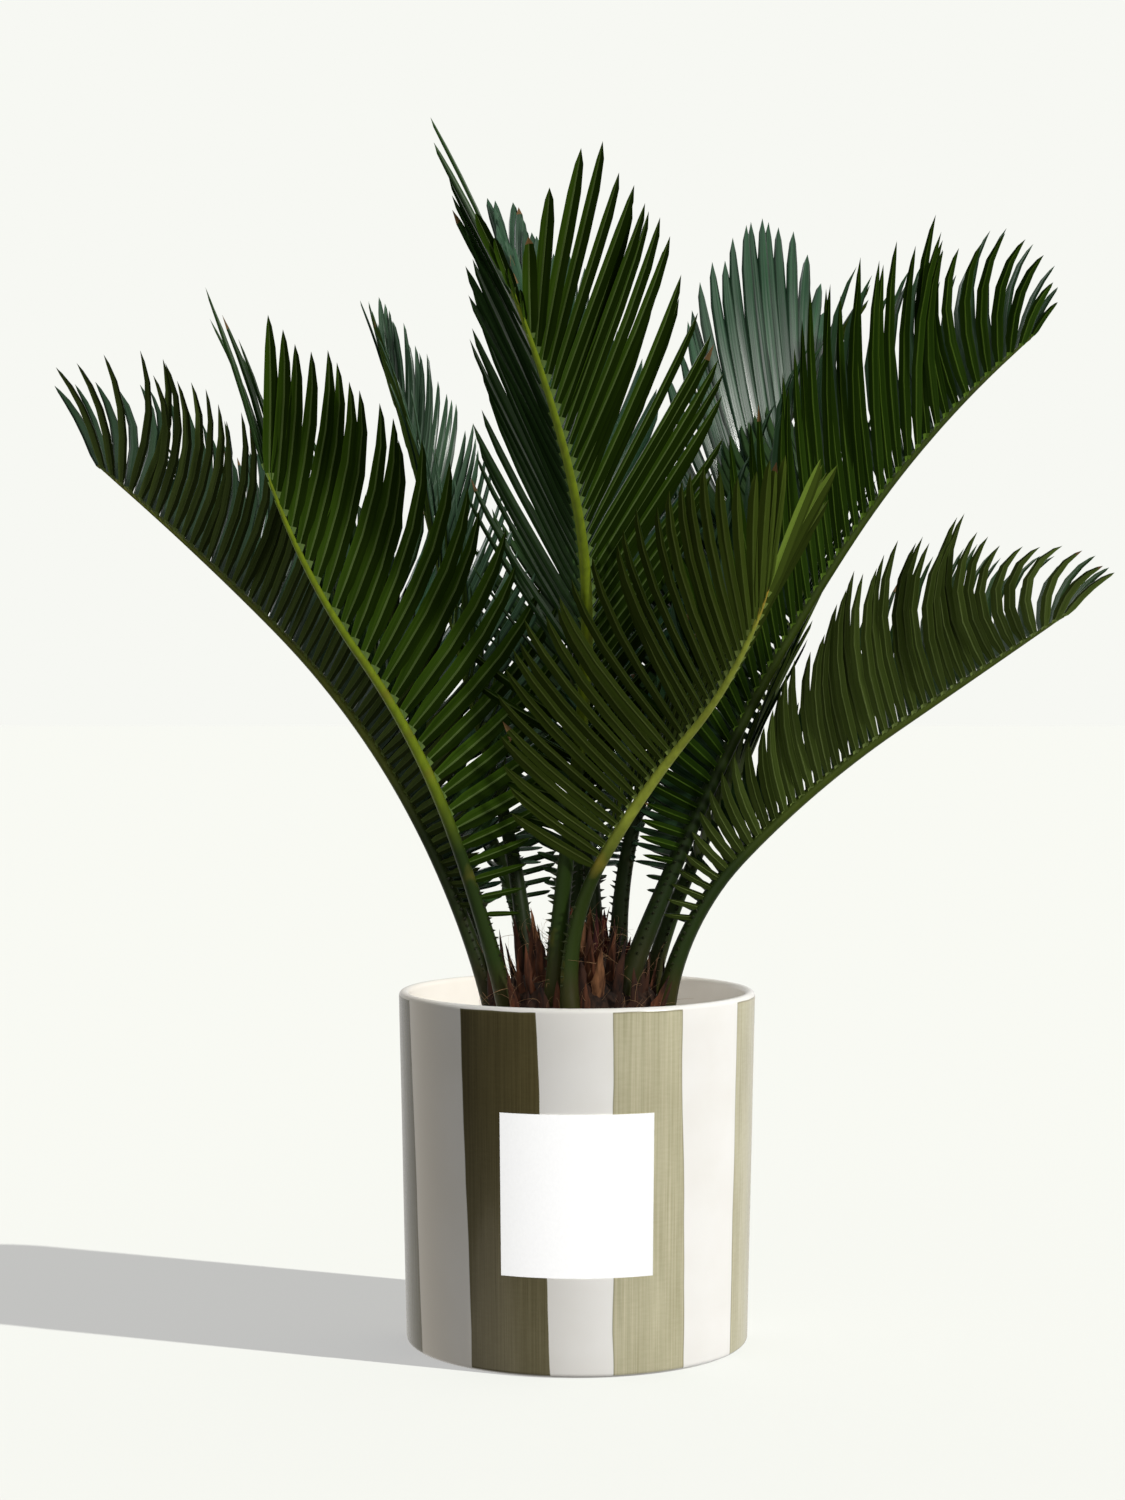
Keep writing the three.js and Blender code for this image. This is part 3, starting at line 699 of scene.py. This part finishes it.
def leafletPath(frond, share, row, lengthShare, lift, turn, jitter):
    point, along, up, side = frameAt(frond, share)
    angles, bends, lengths, turned = (blend(leaflets["stations"], rowValue(frond, row, key), share)
                                      for key in ("angles", "bends", "lengths", "twist"))
    opening = math.radians(rowValue(frond, row, "opening") + jitter["lift"] + lift)
    out = swung(up, side * row, opening)[0]
    below = along.cross(out) * row
    rootAngle, bend = math.radians(angles + jitter["angle"] + turn), math.radians(bends)
    archWhole = math.radians(leaflets["arch"] + jitter["arch"])
    length = frond["leaflet"] * mm * lengths * lengthShare * (1 + jitter["length"])
    radius = stalkRadius(frond, share)
    perpendicular = rowValue(frond, row, "spacing") * math.sin(rootAngle) * leaflets["fill"]
    width = min(rowValue(frond, row, "width"), max(perpendicular, rowValue(frond, row, "narrowest"))) * mm
    width = min(width, length * leaflets["slimmest"])
    twist = math.radians((turned + jitter["twist"]) * row)
    sections, before = [], 0
    place = point + side * row * radius * leaflets["rootOut"] + up * radius * leaflets["rootUp"]
    root = place - along * width * blade["decurrent"]  # the root runs a little way down the stalk
    for bladeShare, bladeWidth in zip(blade["shares"], blade[rowValue(frond, row, "shape")]):
        angle = rootAngle - bend * ((bladeShare + before) / 2) ** 2  # it bends more towards its tip
        arch = archWhole * (bladeShare + before) / 2
        flat, back = swung(along, out, angle)
        ahead, under = swung(flat, below, arch)
        across, under = swung(-back, under, twist)
        place = place + ahead * length * (bladeShare - before)
        before = bladeShare
        sections.append((place if bladeShare else root, across, under, width / 2 * bladeWidth, bladeWidth))
    return sections


def isClear(sections, obstacles):
    for (a, across, _, half, _), (b, nextAcross, _, nextHalf, _) in zip(sections[1:], sections[2:]):
        for edge in (0, 1, -1):
            start, end = a + across * half * edge, b + nextAcross * nextHalf * edge
            ahead = end - start
            if obstacles.ray_cast(start, ahead.normalized(), ahead.length)[0] is not None:
                return False
    return True


def clearPath(obstacles, frond, share, row, jitter):  # the first try that meets nothing, or none
    for lengthShare in shorterShares:
        for lift, turn in tries:
            sections = leafletPath(frond, share, row, lengthShare, lift, turn, jitter)
            if isClear(sections, obstacles):
                return sections


def addBlade(points, faces, slots, values, sections, row, withered, leaf, reach):
    count, last, first = len(blade["across"]), len(sections) - 1, len(points)
    thinnest = blade["thinnest"]
    for along, (place, across, under, half, thickness) in zip(blade["shares"], sections[:-1]):
        for a, d in zip(blade["across"], blade["depth"]):
            depth = d * mm * (thinnest + (1 - thinnest) * thickness)
            points.append(place + across * half * a + under * depth)
            values.append((a, along, leaf, reach))
    points.append(sections[-1][0])
    values.append((0, 1, leaf, reach))
    for i in range(last):
        start = first + i * count
        for k in range(count):
            n = (k + 1) % count
            if i < last - 1:
                face = (start + k, start + n, start + count + n, start + count + k)
            else:
                face = (start + k, start + n, len(points) - 1)
            faces.append(face if row < 0 else face[::-1])
            slots.append(3 if withered and i >= last - 1 else blade["sides"][k] if i else 2)
    cap = tuple(range(first, first + count))
    faces.append(cap[::-1] if row < 0 else cap)
    slots.append(1)


def leafletJitter(random, share, row, frondNumber, unruly):
    # neighbours drift together, and each leaflet strays a little by itself
    jitter = {}
    frondStep, keyStep = leaflets["driftSteps"]
    for i, (key, reach) in enumerate(leaflets["jitter"].items()):
        place = Vector((share / leaflets["driftPitch"], frondNumber * frondStep + row, i * keyStep))
        drift = noise.fractal(place, 1.0, 2.0, 2)
        jitter[key] = (random.uniform(-reach, reach) + leaflets["drift"][key] * drift) * unruly
    return jitter


def buildLeaflets(random):
    obstacles = {name: stalkParts(name) for name in fronds}
    lost = 0
    pairStep, rowStep = leaflets["leafSteps"]
    for number, (name, frond) in enumerate(fronds.items()):
        others = BVHTree.FromPolygons(*joined(part for key, part in obstacles.items() if key != name))
        first, spacing, unruly = (rowValue(frond, 0, key) for key in ("first", "spacing", "unruly"))
        pairs = round((1 - first) * frond["length"] / spacing)
        points, faces, slots, values = [], [], [], []
        for i in range(pairs):
            for row in (1, -1):
                share = first + (1 - first) * (i + 0.5 + row * leaflets["stagger"]) / pairs
                jitter = leafletJitter(random, share, row, number, unruly)
                withered = random.random() < leaflets["withered"]
                found = clearPath(others, frond, share, row, jitter)
                if found is None:
                    lost += 1
                elif share < rowValue(frond, row, "sparseFrom") or i % 2:
                    leaf = (i * pairStep + (row > 0) * rowStep) % 1  # a number of its own for each leaflet
                    addBlade(points, faces, slots, values, found, row, withered, leaf, share)
        mesh = bpy.data.meshes.new(name + "_leaflets")
        mesh.from_pydata(points, [], faces)
        mesh.polygons.foreach_set("material_index", slots)
        for key, column in zip(bladeMarks, zip(*values)):
            mesh.attributes.new(key, "FLOAT", "POINT").data.foreach_set("value", column)
        keepPiece(name + "_leaflets", mesh, leafLooks[frond["tone"]] + [witheredTip], [name], 35)
        obstacles[name] = joined([obstacles[name], (points, faces)])
    print("leaflets done,", lost, "left out")


buildLeaflets(Random(5))


# ---- trunk: a squat bulb wrapped in old leaf bases

trunk = dict(
    heights=[134, 144, 156, 168, 178, 188, 197, 204, 207], radii=[34, 41, 47, 49, 46, 39, 28, 15, 0],
    steps=72, cuts=3, rough=1.3, middle=160,
)
leafBases = dict(
    count=120, lowest=150, highest=192, width=(9, 13), height=(11, 17), thickness=2.2, goldenAngle=137.5,
    sink=4, out=3.2,
)
ringKeys = ("count", "radius", "foot", "height", "lean", "width", "looks")
scaleRings = [dict(zip(ringKeys, row)) for row in (
    (22, 45, 170, (22, 36), 6, (9, 14), (0, 3, 3, 3, 0, 0, 3)),
    (20, 38, 178, (24, 42), 5, (8, 14), (0, 3, 0, 3, 0, 1, 3)),
    (18, 30, 186, (26, 42), 5, (8, 13), (0, 0, 3, 0, 1, 2, 3)),
    (14, 21, 192, (26, 40), 3, (7, 11), (0, 0, 0, 1, 0, 2, 3)),
    (10, 12, 197, (26, 38), 2, (6, 9), (0, 0, 0, 1, 1, 2, 3)),
)]
scaleShape = dict(
    columns=4, rows=8, cup=0.672, thickness=0.7, curl=5.0, ragged=0.5, bow=0.12, sink=3, highest=236,
    clear=1.5,
)
fibres = dict(count=260, length=(8, 26), radius=0.16, steps=6, sides=3)


def barkMaterial(name, dark, light, scale=420.0):
    made = newMaterial(name, {"Roughness": 0.82, "Specular IOR Level": 0.25})
    long = grain(made, scale, (1, 1, 0.14), 4.0)
    mixture = long * 0.6 + grain(made, 70.0, (1, 1, 0.6), 2.0) * 0.4
    link(mixed(spread(mixture, 0.4, 0.62), dark, light), "Base Color")
    relief(long, 0.6 * mm)
    return made


bulbMaterial = barkMaterial("trunk fibre", (0.012, 0.006, 0.004), (0.05, 0.024, 0.014))
scaleLooks = [
    barkMaterial("scale leaf brown", (0.02, 0.007, 0.004), (0.13, 0.044, 0.019)),
    barkMaterial("scale leaf tan", (0.04, 0.015, 0.007), (0.27, 0.12, 0.052)),
    barkMaterial("scale leaf red", (0.022, 0.004, 0.004), (0.11, 0.018, 0.013)),
    barkMaterial("scale leaf dark", (0.008, 0.004, 0.003), (0.055, 0.02, 0.01)),
]
fibreMaterial = newMaterial("loose fibres", {"Base Color": (0.34, 0.19, 0.09), "Roughness": 0.8})


def trunkRadius(z):
    return blend(trunk["heights"], trunk["radii"], z)


def buildTrunk():
    foot = trunk["heights"][0]
    outline = [(0, foot * mm)] + [(r * mm, z * mm) for r, z in zip(trunk["radii"], trunk["heights"])]
    bm = turnedShape(outline, trunk["steps"], trunk["cuts"])
    for vert in bm.verts:
        if vert.co.z > foot * mm:
            outward = (vert.co - upward(trunk["middle"] * mm)).normalized()
            vert.co += outward * noise.fractal(vert.co * 160, 1.0, 2.0, 3) * trunk["rough"] * mm
    keepPiece("trunk_bulb", bm, [bulbMaterial], ["trunk"])


def scaleLeaf(bm, foot, outward, tip, width, thickness, slotIndex, random):
    # a pointed, cupped sheet from its foot to its tip, its hollow side towards the middle of the plant
    grid = bmesh.ops.create_grid(bm, x_segments=scaleShape["columns"], y_segments=scaleShape["rows"],
                                 size=1)["verts"]
    axis = tip - foot
    across = axis.cross(outward).normalized()
    outward = across.cross(axis).normalized()
    twist = random.uniform(-0.5, 0.5)
    curl = random.uniform(-1, 1) * scaleShape["curl"] * mm
    ragged = random.uniform(0, 100)
    for vert in grid:
        u, v = vert.co.x, (vert.co.y + 1) / 2
        half = width / 2 * (1 - v) ** 0.75 * (0.72 + 0.9 * v * (1 - v)) / 0.85
        half *= 1 + scaleShape["ragged"] * noise.noise(Vector((u * 3, v * 9, ragged)))
        angle = twist * v
        cup = -scaleShape["cup"] * half * u * u
        side, face = swung(across, outward, angle)
        bow = outward * (curl * v * v + math.sin(math.pi * v) * width * scaleShape["bow"])
        vert.co = foot + axis * v + side * half * u + face * cup + bow
    bmesh.ops.solidify(bm, geom=paintFaces(grid, slotIndex), thickness=thickness)


def buildLeafBases(random):
    bm = bmesh.new()
    for i in range(leafBases["count"]):
        share = (i + 0.5) / leafBases["count"]
        z = leafBases["lowest"] + (leafBases["highest"] - leafBases["lowest"]) * share
        out = level(math.radians(leafBases["goldenAngle"]) * i)
        foot = out * (trunkRadius(z) - 1.5) + upward(z - leafBases["sink"])
        height = random.uniform(*leafBases["height"])
        tipRadius = trunkRadius(min(z + height * 0.8, 200)) + leafBases["out"]
        tip = out * tipRadius + upward(z - leafBases["sink"] + height)
        scaleLeaf(bm, foot * mm, out, tip * mm, random.uniform(*leafBases["width"]) * mm,
                  leafBases["thickness"] * mm, random.choice((0, 1, 1, 0)), random)
    bmesh.ops.recalc_face_normals(bm, faces=bm.faces)
    keepPiece("trunk_leaf_bases", bm, [scaleLooks[3], scaleLooks[0]], ["trunk"], 50)


def buildScaleLeaves(random):
    bm = bmesh.new()
    stalks = BVHTree.FromPolygons(*joined(stalkParts(name) for name in fronds))
    feet, thickness = [], scaleShape["thickness"] * mm
    for ring in scaleRings:
        for i in range(ring["count"]):
            start = 2 * math.pi * (i + random.uniform(-0.3, 0.3)) / ring["count"]
            height = random.uniform(*ring["height"])
            width = random.uniform(*ring["width"])
            slotIndex = random.choice(ring["looks"])
            for turn in (0, 0.1, -0.1, 0.2, -0.2, 0.3, -0.3):
                out = level(start + turn)
                foot = (out * ring["radius"] + upward(ring["foot"] - scaleShape["sink"])) * mm
                top = min(ring["foot"] + height, scaleShape["highest"])
                tip = (out * (ring["radius"] + ring["lean"]) + upward(top)) * mm
                ahead = tip - foot
                isNear = stalks.find_nearest(foot + ahead * 0.6)[3] <= scaleShape["clear"] * mm
                if not isNear and stalks.ray_cast(foot, ahead.normalized(), ahead.length)[0] is None:
                    scaleLeaf(bm, foot, out, tip, width * mm, thickness, slotIndex, random)
                    feet.append((foot, tip, out))
                    break
    bmesh.ops.recalc_face_normals(bm, faces=bm.faces)
    keepPiece("scale_leaves", bm, scaleLooks, ["bud"], 50)
    return feet


def buildFibres(random, feet):
    points, faces = [], []
    sides, steps = fibres["sides"], fibres["steps"]
    for _ in range(fibres["count"]):
        foot, tip, out = random.choice(feet)
        place = foot + (tip - foot) * random.uniform(0, 0.8)
        aim = (strayVector(random) + out * 0.5 + upward(0.8)).normalized()
        turn = strayVector(random).normalized()
        bend = random.uniform(0.1, 0.55)
        step = random.uniform(*fibres["length"]) * mm / steps
        for k in range(steps + 1):
            thick = fibres["radius"] * mm * (1 - 0.75 * k / steps)
            x = aim.orthogonal().normalized()
            y = aim.cross(x)
            start = len(points)
            for s in range(sides):
                around = 2 * math.pi * s / sides
                points.append(place + (x * math.cos(around) + y * math.sin(around)) * thick)
                if k:
                    n, before = (s + 1) % sides, start - sides
                    faces.append((before + s, before + n, start + n, start + s))
            if not k:
                faces.append(tuple(start + s for s in reversed(range(sides))))
            place = place + aim * step
            aim = (Matrix.Rotation(bend, 3, turn) @ aim).normalized()
        faces.append(tuple(start + s for s in range(sides)))
    mesh = bpy.data.meshes.new("crown_fibres")
    mesh.from_pydata(points, [], faces)
    keepPiece("crown_fibres", mesh, [fibreMaterial], ["bud"])


random = Random(23)
buildTrunk()
buildLeafBases(random)
buildFibres(random, buildScaleLeaves(random))
print("trunk done")


# ---- soil: a rough surface strewn with crumbs and bark chips

soil = dict(
    top=150, radius=88.6, rings=34, steps=96, depth=30, rough=2.2, roughScale=0.11, strewn=(0.24, 0.93),
    crumbs=700, crumbSize=(1.0, 2.6), chips=170, chipSize=(4, 9), chipThick=(1.2, 2.4), chipStray=0.12,
    perlite=0.06,
)


def soilMaterial(name, dark, light):
    made = newMaterial(name, {"Roughness": 0.95, "Specular IOR Level": 0.2})
    crumbly = grain(made, 340.0, detail=5.0)
    link(mixed(spread(crumbly, 0.35, 0.65), dark, light), "Base Color")
    relief(crumbly, 0.8 * mm)
    return made


soilLooks = [
    soilMaterial("dark soil", (0.018, 0.012, 0.008), (0.055, 0.036, 0.024)),
    soilMaterial("bark chips", (0.06, 0.034, 0.018), (0.16, 0.095, 0.05)),
    soilMaterial("perlite", (0.55, 0.53, 0.48), (0.7, 0.68, 0.64)),
]


def soilHeight(x, y):
    rough = noise.fractal(Vector((x, y, 0)) * soil["roughScale"], 1.0, 2.0, 4) * soil["rough"]
    return (soil["top"] + rough) * mm


def buildSoil():
    radius, top, rings = soil["radius"] * mm, soil["top"] * mm, soil["rings"]
    bottom = top - soil["depth"] * mm
    outline = [(0, bottom), (radius, bottom)] + [(radius * (1 - i / rings), top) for i in range(rings + 1)]
    bm = turnedShape(outline, soil["steps"])
    for vert in bm.verts:
        if vert.co.z > top - mm:
            vert.co.z = soilHeight(vert.co.x / mm, vert.co.y / mm)
    keepPiece("soil_surface", bm, [soilLooks[0]], ["soil"])


def buildCrumbs(random):
    bm = bmesh.new()
    for i in range(soil["crumbs"] + soil["chips"]):
        isChip = i >= soil["crumbs"]
        far = math.sqrt(random.uniform(*soil["strewn"])) * soil["radius"]
        angle = random.uniform(0, 2 * math.pi)
        x, y = far * math.cos(angle), far * math.sin(angle)
        turn = Matrix.Rotation(random.uniform(0, 6.3), 4, "Z")
        turn = turn @ Matrix.Rotation(random.uniform(-0.5, 0.5), 4, "X")
        if isChip:
            long = random.uniform(*soil["chipSize"]) * mm
            wide, thick = long * random.uniform(0.4, 0.8), random.uniform(*soil["chipThick"]) * mm
            place = Matrix.Translation((x * mm, y * mm, soilHeight(x, y) + 0.4 * mm))
            place = place @ turn @ Matrix.Diagonal((long, wide, thick, 1))
            made = bmesh.ops.create_cube(bm, size=1, matrix=place)["verts"]
            for vert in made:
                vert.co += strayVector(random) * long * soil["chipStray"]
        else:
            half = random.uniform(*soil["crumbSize"]) * mm / 2
            wide, thick = half * random.uniform(0.6, 1), half * random.uniform(0.5, 0.9)
            place = Matrix.Translation((x * mm, y * mm, soilHeight(x, y) + half * 0.3))
            place = place @ turn @ Matrix.Diagonal((half, wide, thick, 1))
            made = bmesh.ops.create_icosphere(bm, subdivisions=1, radius=1, matrix=place)["verts"]
        paintFaces(made, 1 if isChip else 2 if random.random() < soil["perlite"] else 0)
    keepPiece("soil_crumbs", bm, soilLooks, ["soil"], 40)


buildSoil()
buildCrumbs(Random(31))
print("soil done")


# ---- floor, light and camera

studio = dict(
    backdrop=(247, 248, 243),  # screen levels
    floorColour=(0.196, 0.2, 0.179), floorGlow=0.452, floorSize=60,
    ambient=0.15, backLight=0.6, skyLight=0.3, worldColour=(1.0, 0.99, 0.96),
)
suns = {  # what it falls on, strength, azimuth, elevation, angle and colour
    "floor_light": ("floor", 14.9, -22, 25, 0.8, (1, 1, 1)),
    "pot_light": ("pot", 3.3, -37, 27, 6, (1, 0.99, 0.965)),
    "label_light": ("label", 2.9, -78, 12, 30, (1, 1, 1)),
    "plant_light": ("plant", 1.8, -48, 24, 6, (1, 0.99, 0.95)),
    "plant_fill": ("plant", 0.85, -108, 14, 90, (1, 1, 0.97)),
    "plant_gloss": ("plant", 1.5, 125, 46, 60, (0.93, 0.97, 1)),
}
lamps = {  # small lights on the pot alone, in its mouth and low at its left: power, place, radius, colour
    "mouth_light": (0.065, (0.02, 0.02, 0.185), 0.02, (1, 0.97, 0.92)),
    "low_light": (0.4, (-0.3, -0.24, -0.1), 0.12, (1, 0.9, 0.76)),
}
camera = dict(place=(0, -1.416, 0.3347), yaw=0.313, pitch=-0.842, focal=2653 / 1500 * 36, film=36)


def toLinear(screen):
    share = screen / 255
    return ((share + 0.055) / 1.055) ** 2.4 if share > 0.04045 else share / 12.92


def buildFloor():
    bm = bmesh.new()
    bmesh.ops.create_grid(bm, x_segments=1, y_segments=1, size=studio["floorSize"])
    floor = linked("studio_floor", meshFrom(bm, "studio_floor"))
    made = bpy.data.materials.new("studio floor")
    made.use_nodes = True
    made.node_tree.nodes.clear()
    glow = addNode(made, "Emission", {"Color": (1, 1, 1), "Strength": studio["floorGlow"]})
    matt = addNode(made, "BsdfDiffuse", {"Color": studio["floorColour"]})
    both = addNode(made, "AddShader", {0: glow, 1: matt})
    addNode(made, "OutputMaterial", {"Surface": both})
    floor.data.materials.append(made)
    floor.visible_diffuse = False
    floor.visible_glossy = False
    return floor


def buildWorld():
    world = bpy.data.worlds.new("studio")
    world.use_nodes = True
    world.node_tree.nodes.clear()
    bpy.context.scene.world = world
    x, y, z = splitVector(addNode(world, "TexCoord", output="Generated"))
    behind = smooth(y, 0.05, 0.7, 0.0, studio["backLight"])
    above = smooth(z, 0.2, 0.9, 0.0, studio["skyLight"])
    seen = addNode(world, "LightPath", output="Is Camera Ray")
    strength = behind + above + studio["ambient"]
    light = addNode(world, "Background", {"Color": studio["worldColour"], "Strength": strength})
    colour = [toLinear(screen) for screen in studio["backdrop"]]
    backdrop = addNode(world, "Background", {"Color": colour, "Strength": 1.0})
    both = addNode(world, "MixShader", {0: seen, 1: light, 2: backdrop})
    addNode(world, "OutputWorld", {"Surface": both})


def collected(name, pieces):
    group = bpy.data.collections.new(name)
    for piece in pieces:
        group.objects.link(piece)
    return group


def newLight(name, kind, energy, colour, receivers, blockers):
    light = bpy.data.lights.new(name, kind)
    light.energy, light.color = energy, colour
    lamp = linked(name, light)
    lamp.light_linking.receiver_collection = receivers
    if blockers:
        lamp.light_linking.blocker_collection = blockers
    return lamp


def buildLights(floor, pieces):
    pot, label = (bpy.data.objects[name] for name in ("pot_shell", "label_sheet"))
    plant = [piece for piece in pieces if piece not in (pot, label)]
    lit = {"floor": [floor], "pot": [pot], "label": [label], "plant": plant}
    groups = {name: collected(name + "_group", group) for name, group in lit.items()}
    for name, (on, strength, azimuth, elevation, angle, colour) in suns.items():
        blockers = groups["pot"] if on in ("pot", "label") else None
        sun = newLight(name, "SUN", strength, colour, groups[on], blockers)
        sun.data.angle = math.radians(angle)
        high = math.radians(elevation)
        source = level(math.radians(azimuth)) * math.cos(high) + upward(math.sin(high))
        sun.rotation_euler = source.to_track_quat("Z", "Y").to_euler()
    for name, (power, place, radius, colour) in lamps.items():
        lamp = newLight(name, "POINT", power, colour, groups["pot"], groups["pot"])
        lamp.data.shadow_soft_size = radius
        lamp.location = place


def buildCamera():
    lens = bpy.data.cameras.new("camera")
    lens.sensor_fit = "VERTICAL"
    lens.sensor_height = camera["film"]
    lens.lens = camera["focal"]
    view = linked("camera", lens)
    view.location = camera["place"]
    view.rotation_euler = (math.radians(90 + camera["pitch"]), 0, math.radians(camera["yaw"]))
    bpy.context.scene.camera = view


pieces = [piece for piece in bpy.context.scene.objects if piece.type == "MESH"]
floor = buildFloor()
buildWorld()
buildLights(floor, pieces)
buildCamera()
bpy.context.scene.view_settings.view_transform = "Standard"
print("studio done")
